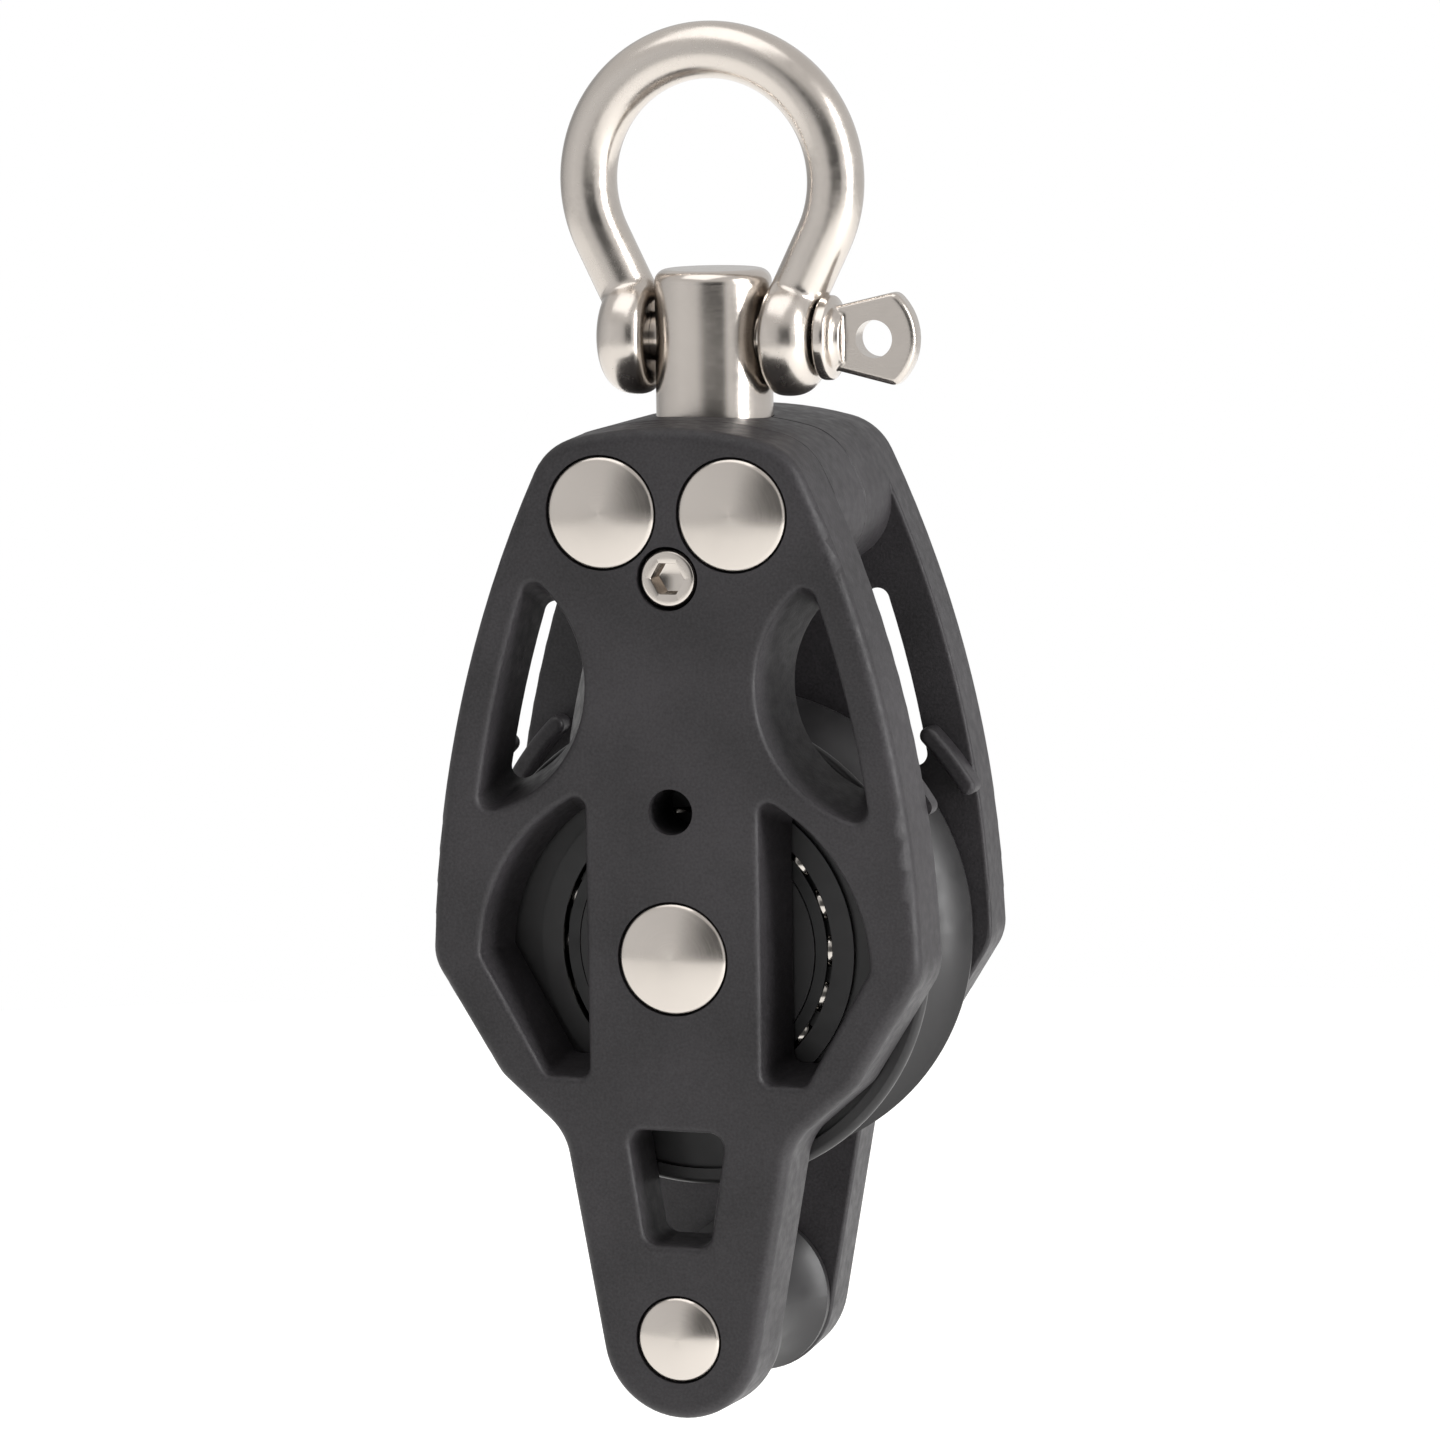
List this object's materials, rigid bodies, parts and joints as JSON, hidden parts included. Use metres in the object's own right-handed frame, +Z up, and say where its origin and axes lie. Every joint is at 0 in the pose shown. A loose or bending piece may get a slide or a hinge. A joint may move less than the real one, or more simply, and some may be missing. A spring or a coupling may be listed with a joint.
{
  "type": "single sheave block with becket and swivel shackle",
  "caption": "Ball-bearing sheave block with windowed cheeks, riveted head, locking swivel bow shackle and becket below the sheave.",
  "frame": {"origin": "centre of the sheave, midway between the cheeks", "axes": "+X right across the cheeks towards the shackle pin's wing, +Y along the sheave axle towards the rear cheek, +Z up towards the shackle"},
  "size_m": [0.0626, 0.0384, 0.1691],
  "materials": {
    "cheek": "moulded glass-filled nylon, satin-matt",
    "rivet": "turned stainless steel",
    "sleeve": "drawn stainless tube",
    "hub": "acetal, satin",
    "sheave": "acetal, satin",
    "cage": "black acetal",
    "balls": "polished stainless balls",
    "spool": "acetal, satin",
    "stud": "satin-polished stainless",
    "screw": "stainless cap screw",
    "insert": "turned brass",
    "shackle": "satin-polished stainless",
    "shackle_pin": "satin-polished stainless"
  },
  "bodies": {
    "shackle": {"shackle_bow": "shackle"},
    "shackle_pin": {"shackle_pin": "shackle_pin"},
    "swivel": {"swivel_stud": "stud"},
    "block": {"front_cheek": "cheek", "rear_cheek": "cheek", "head_rivet_left": "rivet", "head_rivet_right": "rivet", "axle_rivet": "rivet", "becket_rivet": "rivet", "axle_sleeve": "sleeve", "becket_sleeve": "sleeve", "bearing_hub": "hub", "lock_screw": "screw", "lock_screw_insert": "insert"},
    "sheave": {"sheave": "sheave"},
    "ball_set_front": {"ball_cage_front": "cage", "side_balls_front": "balls"},
    "ball_set_rear": {"ball_cage_rear": "cage", "side_balls_rear": "balls"},
    "becket_spool": {"becket_spool": "spool"}
  },
  "joints": [
    {"name": "pin_withdraw", "type": "slide", "parent": "shackle", "child": "shackle_pin", "axis": [1, 0, 0], "range_m": [0, 0.03]},
    {"name": "shackle_swing", "type": "hinge", "parent": "shackle", "child": "swivel", "pos_m": [0, 0, 0.0737], "axis": [1, 0, 0], "range_deg": [-95, 95]},
    {"name": "head_swivel", "type": "hinge", "parent": "swivel", "child": "block", "pos_m": [0, 0, 0.06], "axis": [0, 0, 1], "continuous": true},
    {"name": "sheave_spin", "type": "hinge", "parent": "block", "child": "sheave", "pos_m": [0, 0, 0], "axis": [0, 1, 0], "continuous": true},
    {"name": "cage_front_spin", "type": "hinge", "parent": "block", "child": "ball_set_front", "pos_m": [0, -0.0069, 0], "axis": [0, 1, 0], "continuous": true},
    {"name": "cage_rear_spin", "type": "hinge", "parent": "block", "child": "ball_set_rear", "pos_m": [0, 0.0069, 0], "axis": [0, 1, 0], "continuous": true},
    {"name": "becket_spin", "type": "hinge", "parent": "block", "child": "becket_spool", "pos_m": [0, 0, -0.0468], "axis": [0, 1, 0], "continuous": true}
  ],
  "couplings": [
    {"joint": "cage_front_spin", "follows": "sheave_spin", "ratio": 0.5706},
    {"joint": "cage_rear_spin", "follows": "sheave_spin", "ratio": 0.5706}
  ]
}
